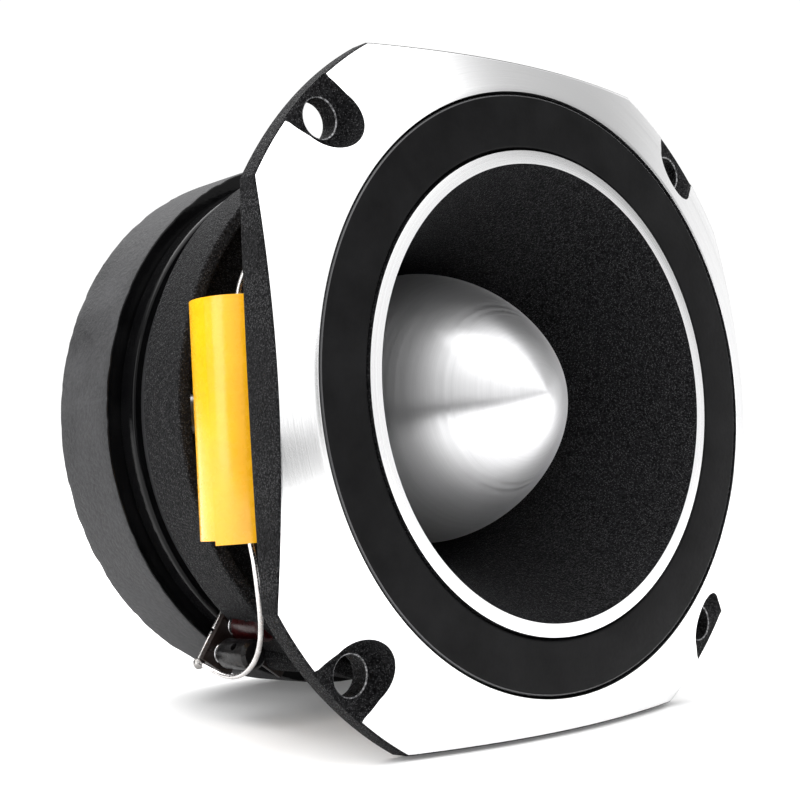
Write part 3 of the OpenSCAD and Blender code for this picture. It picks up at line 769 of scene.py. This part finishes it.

# %% Gloss black plate
# The magnet's front face, which shows round the plate, gets the plate's gloss black as painted shade.
gloss_black = dusty(
    "gloss black coat", (0.001, 0.001, 0.0012), (0.003, 0.003, 0.0032), (0.10, 0.17), patch=160,
    speck=900, depth=0.012, Specular_IOR_Level=0.09, Coat_Weight=0.05, Coat_Roughness=0.06)
top_plate = turned(
    "top_plate_finished",
    soften([(23, plate_y), (41.3, plate_y), (41.3, magnet_y), (23, magnet_y)], 0.7, steps=5),
    (gloss_black,), 288)
place(top_plate, "housing", "plate_black", "top_plate")
# Painted shade: the magnet's front face takes the gloss black finish.
magnet.data.materials.append(gloss_black)
for face in magnet.data.polygons:
    face.material_index = int(face.normal.y < -0.8)

# %% Back plate
plate_steel, tree, shader = new_material("phosphated plate", (0.045, 0.046, 0.050), 0.45, 0.7)
dust = group_in(tree, mottle, Patch=110, Speck=1400)
marks = group_in(tree, lathe, Lines=2400, Bands=240)
tint(tree, shader, dust["Patch"], (0.035, 0.036, 0.040), (0.070, 0.071, 0.075))
tree.links.new(spread(tree, marks["Line"], 0.3, 0.7, 0.34, 0.55), shader.inputs["Roughness"])
raise_surface(tree, shader, marks["Band"], 0.02)
yoke = turned(
    "yoke_finished",
    soften([(2.7, plate_y), (21.2, plate_y), (21.2, magnet_rear_y), (38.5, magnet_rear_y),
            (38.5, back_y), (2.7, back_y)], 0.8, steps=5), (plate_steel,), 256)
place(yoke, "housing", "plate_black", "yoke")

# %% Zinc-plated steel
zinc = dusty("zinc plate", (0.66, 0.67, 0.69), (0.84, 0.85, 0.87), (0.28, 0.44), 0.85,
             patch=500, speck=4200, depth=0.006)
bolt = rounded_copy("centre_bolt_finished", "centre_bolt", 0.35, 3)
washer = rounded_copy("centre_washer_finished", "centre_washer", 0.2)
for piece, node in ((bolt, "centre_bolt"), (washer, "centre_washer")):
    piece.data.materials.append(zinc)
    place(piece, "housing", "zinc_steel", node)

# %% [markdown]
# ## Assembly screws
# Four pan-head screws clamp the casting to the magnet. One screw is modelled with a domed
# head and a cross recess, and Geometry Nodes set it on the four points of a ring.

# %% One screw
bm = bmesh.new()
spin(bm, [(0, 27.8), (0.9, 27.83), (1.7, 27.98), (2.35, 28.3), (2.75, 28.8), (2.9, 29.3),
          (2.88, 29.5), (1.5, 29.5), (1.5, 41.3), (1.2, 41.6), (0, 41.6)], 48)
screw = closed_object("one screw", bm, (zinc,))
for turn in (0, 90):
    slot_tool = bmesh.new()
    block(slot_tool, (-1.5, 27.0, -0.3), (1.5, 28.9, 0.3), Matrix.Rotation(math.radians(turn), 4, "Y"))
    cut_with(screw, make_object("slot tool", slot_tool))

# %% Four screws on their ring
screw_tree, given, end = new_tree("screws on a ring", [
    ("Screw", "Object", None), ("Count", "Int", 4), ("Radius", "Float", screw_ring_r * MM),
    ("Finish", "Material", None)])
points, index, _ = points_on_ring(screw_tree, given["Count"], given["Radius"])
own_turn = add(screw_tree, "ShaderNodeCombineXYZ", {
    "Y": maths(screw_tree, "MULTIPLY", index, 0.7)}).outputs[0]
screw_in = add(screw_tree, "GeometryNodeObjectInfo", {"Object": given["Screw"]}).outputs["Geometry"]
all_screws = add(screw_tree, "GeometryNodeInstanceOnPoints", {
    "Points": points, "Instance": screw_in, "Rotation": own_turn})
end_tree(screw_tree, all_screws.outputs[0], given["Finish"], end)
screws = grow("assembly_screws", screw_tree, {"Screw": screw, "Finish": zinc})
bpy.data.objects.remove(screw)
place(screws, "housing", "zinc_steel", *[f"assembly_screw_{k}" for k in (1, 2, 3, 4)])

# %% [markdown]
# ## Capacitor
# A film capacitor in yellow tape keeps low notes away from the small coil. The tape is a
# little wider than the winding, so it stands past the potted ends. Its last turn lies
# slightly askew: its edge shows as a step along the side and drops below the first turns.

# %% Yellow tape finish
yellow_tape = dusty(
    "yellow tape", (0.76, 0.36, 0.003), (0.82, 0.41, 0.006), (0.22, 0.32), patch=130, speck=600,
    depth=0.05, bump_by="Patch", Subsurface_Weight=0.05, Subsurface_Scale=0.4 * MM,
    Subsurface_Radius=(1.0, 0.6, 0.1), Coat_Weight=0.30, Coat_Roughness=0.14,
    Specular_IOR_Level=0.40)
cap_at = Matrix.Translation((-0.0378, 0.0155, 0))
stand_up = Matrix.Rotation(math.radians(90), 4, "X")
cap_low, cap_high = -18.4, 14.7
tape_r, tail_t = 6.885, 0.12


# %% Tape, wound and its loose end
bm = bmesh.new()
spin(bm, soften(
    [(6.6, cap_low + 1.0), (6.6, cap_low), (6.88, cap_low), (6.88, cap_high), (6.6, cap_high),
     (6.6, cap_high - 1.0)], 0.10, steps=2, closed=False), 128, cap_at @ stand_up)
for vert in bm.verts:
    if min(vert.co.z - cap_low * MM, cap_high * MM - vert.co.z) < 1.2 * MM:
        swell = noise.noise(Vector((vert.co.x, vert.co.y, vert.co.z * 0.35)) * 160)
        vert.co.z += swell * 0.05 * MM
tape = closed_object("capacitor_tape_finished", bm, (yellow_tape,))
place(tape, "housing", "capacitor_yellow", "capacitor_tape")

bm = bmesh.new()
first, sweep, tail_steps = 192, 250, 125
rings = []
for k in range(tail_steps + 1):
    share = k / tail_steps
    angle = math.radians(first + sweep * share)
    low, high = cap_low - 0.62 * (1 - share), cap_high - 0.4 - 0.25 * share
    outer = tape_r + tail_t * max(0.15, min(1, (1 - share) / 0.03))
    ring = []
    for r, z in soften([(tape_r, low), (outer, low), (outer, high), (tape_r, high)], 0.04, steps=2):
        lift = 0.06 * max(0, 1 - share / 0.02) if r > 6.9 else 0
        reach = (r + lift) * MM
        ring.append(cap_at @ Vector((reach * math.cos(angle), reach * math.sin(angle), z * MM)))
    rings.append(ring)
skin(bm, rings)
tail = closed_object("tape_tail_finished", bm, (yellow_tape,))
place(tail, "housing", "capacitor_yellow", "tape_tail")

# %% Potted ends
epoxy = dusty(
    "potting resin", (0.62, 0.27, 0.02), (0.80, 0.42, 0.05), 0.22, patch=300, speck=1600, depth=0.15,
    bump_by="Patch", Coat_Weight=0.5, Subsurface_Weight=0.15, Subsurface_Scale=0.5 * MM)
for node, z, side in (("end_fill_top", cap_high - 1.2, 1), ("end_fill_bottom", cap_low + 0.3, -1)):
    bm = bmesh.new()
    outer, inner = (z + 0.9, z) if side > 0 else (z, z + 0.9)
    dish = [(0.42, outer - side * 0.02), (0.8, outer - side * 0.32), (3.0, outer - side * 0.40),
            (5.6, outer - side * 0.28), (6.55, outer), (6.58, inner), (0.42, inner)]
    spin(bm, dish, 96, cap_at @ stand_up)
    place(closed_object(node + "_finished", bm, (epoxy,)), "housing", "epoxy", node)

# %% [markdown]
# ## Wires and springs
# A wire is a round section carried along a route, and a spring is a wire on a spiral. Both
# follow a path by rule, so two small Geometry Nodes trees make them all. The route's
# points repeat the ones in the CAD, and a smooth curve is passed through them.

# %% Wire tree
wire_tree, given, end = new_tree("wire on a route", [
    ("Radius", "Float", 0.0004), ("Sides", "Int", 20), ("Detail", "Int", 12),
    ("Finish", "Material", None)])
path = add(wire_tree, "GeometryNodeMeshToCurve", {"Mesh": given["Geometry"]}).outputs[0]
smooth_kind = add(wire_tree, "GeometryNodeCurveSplineType", {"Curve": path}, spline_type="CATMULL_ROM")
fine = add(wire_tree, "GeometryNodeSetSplineResolution", {
    "Geometry": smooth_kind.outputs[0], "Resolution": given["Detail"]})
section = add(wire_tree, "GeometryNodeCurvePrimitiveCircle", {
    "Resolution": given["Sides"], "Radius": given["Radius"]}).outputs["Curve"]
skinned = add(wire_tree, "GeometryNodeCurveToMesh", {
    "Curve": fine.outputs[0], "Profile Curve": section, "Fill Caps": True})
end_tree(wire_tree, skinned.outputs[0], given["Finish"], end)


def wire(name, points, radius, finish, matrix=Matrix()):
    """A round wire through points in mm."""
    mesh = bpy.data.meshes.new(name)
    mesh.from_pydata([matrix @ (Vector(p) * MM) for p in points],
                     [(k, k + 1) for k in range(len(points) - 1)], [])
    return grow(name, wire_tree, {"Radius": radius * MM, "Finish": finish}, mesh, 50)


# %% Leads of the capacitor
tinned = dusty("tinned copper", (0.52, 0.50, 0.49), (0.76, 0.74, 0.73), (0.16, 0.32), 1.0,
               patch=700, speck=4000, depth=0.02, bump_by="Patch")
sleeve = dusty("black sleeve", (0.008, 0.008, 0.009), (0.018, 0.018, 0.019), 0.38,
               patch=600, speck=3000, depth=0.02)
lower_route = [
    (-37.8, 15.5, -17.8), (-37.8, 15.5, -19.2), (-37.3, 15.7, -21.2), (-36.5, 16.4, -23.8),
    (-35.6, 17.3, -26.6), (-34.5, 18.6, -29.4), (-33.5, 20.1, -32.0), (-32.7, 21.9, -34.4),
    (-32.2, 24.0, -36.4), (-32.0, 26.3, -37.8), (-32.2, 28.6, -38.5), (-32.6, 30.8, -38.4),
    (-33.1, 32.8, -37.7), (-33.6, 34.3, -37.0), (-34.0, 35.2, -36.6)]
upper_route = [
    (-37.8, 15.5, 14.2), (-37.8, 15.5, 15.6), (-37.4, 15.2, 17.4), (-36.2, 14.7, 20.0),
    (-33.6, 14.2, 23.2), (-30.0, 14.4, 25.9), (-26.5, 15.7, 27.9), (-23.8, 18.0, 29.2),
    (-22.2, 21.2, 29.8), (-21.5, 24.4, 30.0), (feed_x, 28.0, feed_z), (feed_x, 36.4, feed_z)]
return_route = [
    (41.5, 35.75, -2.5), (41.3, 36.3, -1.2), (41.0, 36.8, 0.4), (40.7, 37.1, 2.2),
    (40.1, 37.25, 4.0), (39.1, 37.25, 4.9), (37.8, 37.25, 4.9)]
for node, slot, route, finish, matrix in (
        ("lead_lower", "tinned_wire", lower_route, tinned, Matrix()),
        ("lead_upper", "tinned_wire", upper_route, tinned, Matrix()),
        ("return_wire", "wire_sleeve", return_route, sleeve, terminal)):
    place(wire(node + "_finished", route, 0.4, finish, matrix), "housing", slot, node)

# %% Spring tree
spring_tree, given, end = new_tree("wound spring", [
    ("Turns", "Float", 5.0), ("Mean radius", "Float", 0.00145), ("Length", "Float", 0.00376),
    ("Wire radius", "Float", 0.00015), ("Finish", "Material", None)])
spiral = add(spring_tree, "GeometryNodeCurveSpiral", {
    "Resolution": 32, "Rotations": given["Turns"], "Start Radius": given["Mean radius"],
    "End Radius": given["Mean radius"], "Height": given["Length"]})
section = add(spring_tree, "GeometryNodeCurvePrimitiveCircle", {
    "Resolution": 10, "Radius": given["Wire radius"]}).outputs["Curve"]
wound = add(spring_tree, "GeometryNodeCurveToMesh", {
    "Curve": spiral.outputs[0], "Profile Curve": section, "Fill Caps": True})
end_tree(spring_tree, wound.outputs[0], given["Finish"], end)

# %% Springs under the push caps
spring_steel = dusty("spring wire", (0.42, 0.42, 0.43), (0.62, 0.62, 0.63), 0.25, 1.0,
                     patch=900, speck=5000, depth=0.005)
spring_low = 29.9 + 0.17
for colour, x in (("red", 41.9), ("black", 46.6)):
    node = "cap_spring_" + colour
    spring = grow(node + "_finished", spring_tree, {"Finish": spring_steel}, crease=50)
    spring.data.transform(
        terminal @ Matrix.Translation((x * MM, spring_low * MM, -4.5 * MM))
        @ Matrix.Rotation(math.radians(-90), 4, "X"))
    place(spring, "housing", "spring_wire", node)
    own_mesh(spring)

# %% [markdown]
# ## Terminals
# Two small push posts stand on a fibre strip: red and black caps, tinned lugs riveted
# behind. The CAD gives their shapes, and what they lack is edges. So each is a copy of its
# node with the loose triangles joined, and a Bevel rounds the edges by a tenth or two.

# %% Finishes of the terminals
fibre = dusty("fibre board", (0.006, 0.0035, 0.003), (0.016, 0.009, 0.007), (0.22, 0.40), patch=500,
              speck=3500, depth=0.03, colour_by="Speck", rough_by="Patch", Specular_IOR_Level=0.3)
red_plastic, black_plastic = [
    dusty(name + " cap plastic", dark, light, (0.25, 0.36), patch=420, speck=3000, depth=0.02,
          bump_by="Patch", Specular_IOR_Level=0.22, Coat_Weight=0.06, Coat_Roughness=0.12)
    for name, dark, light in (("red", (0.010, 0.0007, 0.0009), (0.022, 0.0010, 0.0013)),
                              ("black", (0.003, 0.003, 0.0035), (0.007, 0.006, 0.006)))]
brass = dusty("brass", (0.70, 0.48, 0.22), (0.85, 0.64, 0.33), 0.28, 1.0, patch=600, speck=4000,
              depth=0.006)

# %% Rounded copies of the terminal parts
for node, width, finish, body, slot in (
        ("terminal_strip", 0.12, fibre, "housing", "fibre_board"),
        ("lug_inner", 0.10, tinned, "housing", "tinned_lug"),
        ("lug_outer", 0.10, tinned, "housing", "tinned_lug"),
        ("post_inner", 0.10, tinned, "housing", "tinned_lug"),
        ("post_outer", 0.10, tinned, "housing", "tinned_lug"),
        ("strip_screw", 0.15, zinc, "housing", "zinc_steel"),
        ("push_cap_red", 0.16, red_plastic, "red_terminal", "cap_red"),
        ("push_cap_black", 0.16, black_plastic, "black_terminal", "cap_black")):
    piece = rounded_copy(node + "_finished", node, width)
    piece.data.materials.clear()
    piece.data.materials.append(finish)
    place(piece, body, slot, node)

# %% [markdown]
# ## Solder and glue
# Solder wets the lug and pulls up round the wire, so it is a low uneven cone, not a ball.
# The bead of amber glue that holds the capacitor is squeezed between it and the horn: a
# copy of the CAD bead is rebuilt with an even skin, then relaxed until its edges sag.

# %% Solder joint
solder = dusty("solder", (0.24, 0.23, 0.22), (0.44, 0.43, 0.42), 0.26, 1.0, patch=900, speck=5000,
               depth=0.03, bump_by="Patch")
low, high = node_box["solder_joint"]
bm = bmesh.new()
bmesh.ops.create_icosphere(bm, subdivisions=5, radius=1)
for vert in bm.verts:
    pull = 1 - 0.16 * max(0, vert.co.y) - 0.10 * abs(noise.noise(vert.co * 1.7))
    vert.co = Vector([(a + b) / 2 + (b - a) / 2 * c * pull for a, b, c in zip(low, high, vert.co)]) * MM
joint = make_object("solder_joint_finished", bm, (solder,))
place(joint, "housing", "tinned_lug", "solder_joint")

# %% Amber glue
amber = dusty("amber glue", (0.36, 0.12, 0.012), (0.66, 0.32, 0.06), 0.16, patch=260, speck=1600,
              depth=0.12, bump_by="Patch", Transmission_Weight=0.25, Coat_Weight=0.5)
bead = rounded_copy("adhesive_bead_finished", "adhesive_bead", 0.01)
even = bead.modifiers.new("even skin", "REMESH")
even.mode = "VOXEL"
even.voxel_size = 0.22 * MM
relax = bead.modifiers.new("relax", "SMOOTH")
relax.iterations = 14
relax.factor = 0.6
settle(bead, 60)
for vert in bead.data.vertices:
    vert.co += Vector((0, 0, 1)) * noise.noise(vert.co * 500) * 0.12 * MM
bead.data.materials.clear()
bead.data.materials.append(amber)
place(bead, "housing", "hot_melt", "adhesive_bead")

# %% [markdown]
# ## Finishes for the CAD parts that stay
# The diaphragm, the coil and the rings inside are already right in shape. They keep their
# CAD meshes, and only their material slots change.

# %% Materials of the inner parts
def inner_finish(name, dark, light, roughness, metallic=0.0, **plain):
    return dusty(name, dark, light, (roughness * 0.85, roughness * 1.2), metallic, **plain)


film = inner_finish("surround film", (0.42, 0.30, 0.14), (0.56, 0.43, 0.22), 0.35)
foil = inner_finish("metal foil", (0.60, 0.61, 0.65), (0.72, 0.73, 0.77), 0.25, 1.0)
amber_film = inner_finish("amber film", (0.50, 0.30, 0.09), (0.64, 0.42, 0.16), 0.3)
moulded = inner_finish("moulded black plastic", (0.011, 0.011, 0.012), (0.019, 0.019, 0.020), 0.45)
wool = inner_finish("black felt", (0.018, 0.018, 0.018), (0.045, 0.045, 0.045), 0.95,
                    patch=900, speck=6000, depth=0.25, Sheen_Weight=0.4)
copper, tree, shader = new_material("copper winding", (0.72, 0.32, 0.16), 0.3, 1.0)
marks = group_in(tree, lathe, Lines=9000, Bands=4000)
tint(tree, shader, marks["Band"], (0.52, 0.20, 0.09), (0.80, 0.38, 0.20))
raise_surface(tree, shader, marks["Band"], 0.04)
lead_copper = inner_finish("lead-out copper", (0.60, 0.26, 0.12), (0.78, 0.38, 0.20), 0.3, 1.0)
finish_of = {
    "inner_surround": film, "outer_surround": film, "diaphragm_ring": foil,
    "coil_former": amber_film, "voice_coil": copper, "carrier_ring": moulded,
    "inner_spacer": satin_aluminium, "shorting_sleeve": lead_copper, "damping_felt": wool,
    "capacitor_core": amber_film, "feed_bush": moulded, "coil_lug_in": brass,
    "coil_lug_out": brass, "coil_lead_in": lead_copper, "coil_lead_out": lead_copper}
for node, finish in finish_of.items():
    for material_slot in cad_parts[node].material_slots:
        material_slot.material = finish
shown = [name for name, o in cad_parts.items() if not o.hide_render]
print("CAD parts that stay:", len(shown), "without a finish:", sorted(set(shown) - set(finish_of)))

# %% [markdown]
# ## Studio
# The speaker rests on the rear edge of its flange and on the magnet's rim, so it leans back.
# The floor is tilted to meet those two lines instead of tilting the speaker. The walls
# are white, so cut metal goes white and black paint keeps its charcoal. Dark cards outside
# the view put the grey bands on the metal.

# %% Floor
heel_z = node_box["horn_casting"][0][2]
magnet_z = node_box["magnet"][0][2]
lean = math.atan2(magnet_z - heel_z, magnet_rear_y)
floor_at = Matrix.Translation((0, 0, heel_z * MM)) @ Matrix.Rotation(lean, 4, "X")
print("lean in degrees:", round(math.degrees(lean), 2))


def stage_sheet(name, width, length, matrix, material):
    """A flat sheet of the studio, in metres, facing its own +Z."""
    mesh = bpy.data.meshes.new(name)
    w, h = width / 2, length / 2
    mesh.from_pydata([matrix @ Vector(p) for p in ((-w, -h, 0), (w, -h, 0), (w, h, 0), (-w, h, 0))],
                     [], [(0, 1, 2, 3)])
    mesh.materials.append(material)
    sheet = bpy.data.objects.new(name, mesh)
    bpy.context.collection.objects.link(sheet)
    return sheet


paper, tree, shader = new_material(
    "white paper", (0.86, 0.86, 0.86), 0.8, Specular_IOR_Level=0.15, Emission_Strength=0.12,
    Emission_Color=(1, 1, 1, 1))
stage_sheet("floor", 16, 16, floor_at, paper)

# %% [markdown]
# The walls are painted with light: a big bright wall in front and to the right for the cut
# face, a bright ceiling, a soft lamp over the camera's left shoulder, and a dark room
# behind. A dark doorway high on the right greys the top corner of the cut face, and a black
# card by the camera shows in the bullet as a dark wedge behind its tip. Two real lamps
# help, a softbox above and a strip at the left. What the camera sees behind the speaker is
# plain white.

# %% Painted walls
world = bpy.data.worlds.new("studio")
bpy.context.scene.world = world
world.use_nodes = True
tree = world.node_tree
facing = add(tree, "ShaderNodeTexCoord").outputs["Generated"]


def toward(direction, low, high, amount):
    """Light that grows towards a direction of the room."""
    aim = Vector(direction).normalized()
    near = add(tree, "ShaderNodeVectorMath", {0: facing, 1: aim}, operation="DOT_PRODUCT").outputs["Value"]
    node = add(tree, "ShaderNodeMapRange", {
        "Value": near, "From Min": low, "From Max": high, "To Min": 0.0, "To Max": amount},
        interpolation_type="SMOOTHSTEP")
    return node.outputs["Result"]


glow = maths(tree, "ADD", 0.05, toward((0.84, -0.54, 0.05), -0.05, 0.50, 1.02))
glow = maths(tree, "ADD", glow, toward((0, 0, 1), 0.25, 0.85, 0.9))
glow = maths(tree, "ADD", glow, toward((-0.50, -0.72, 0.48), 0.68, 0.93, 1.0))
doorway = toward((0.80, -0.31, 0.51), 0.87, 0.975, 0.66)
glow = maths(tree, "MULTIPLY", glow, maths(tree, "SUBTRACT", 1.0, doorway))
seen = add(tree, "ShaderNodeLightPath").outputs["Is Camera Ray"]
strength = add(tree, "ShaderNodeMix", {0: seen, 2: glow, 3: 1.05}, data_type="FLOAT").outputs[0]
tree.links.new(strength, tree.nodes["Background"].inputs["Strength"])
tree.nodes["Background"].inputs["Color"].default_value = (1, 1, 1, 1)


# %% Soft lamps
def light(name, width, height, power, place_of, target):
    data = bpy.data.lights.new(name, "AREA")
    data.shape = "RECTANGLE"
    data.size, data.size_y, data.energy = width, height, power
    lamp = bpy.data.objects.new(name, data)
    aim = Vector(target) - Vector(place_of)
    lamp.location = place_of
    lamp.rotation_euler = aim.to_track_quat("-Z", "Y").to_euler()
    bpy.context.collection.objects.link(lamp)


def dark_card(name, width, height, place_of, target):
    """A black card that only reflections see."""
    felt, tree, shader = new_material(name, (0.01, 0.01, 0.01), 1.0)
    aim = Vector(target) - Vector(place_of)
    turn = aim.to_track_quat("Z", "Y").to_matrix().to_4x4()
    sheet = stage_sheet(name, width, height, Matrix.Translation(place_of) @ turn, felt)
    sheet.visible_camera = sheet.visible_diffuse = sheet.visible_shadow = False


light("top softbox", 0.9, 0.7, 8.5, (-0.08, 0.12, 0.56), (0, 0.03, 0))
light("side strip", 0.26, 0.50, 1.6, (-0.60, 0.0, 0.10), (-0.03, 0.015, 0))
dark_card("camera card", 0.32, 0.060, (-0.20, -0.21, -0.045), (0, 0, 0))
dark_card("far wall", 0.06, 0.10, (0.0, -0.42, 0.03), (0, 0, 0))
bpy.context.scene.view_settings.view_transform = "Standard"
bpy.context.scene.view_settings.look = "None"
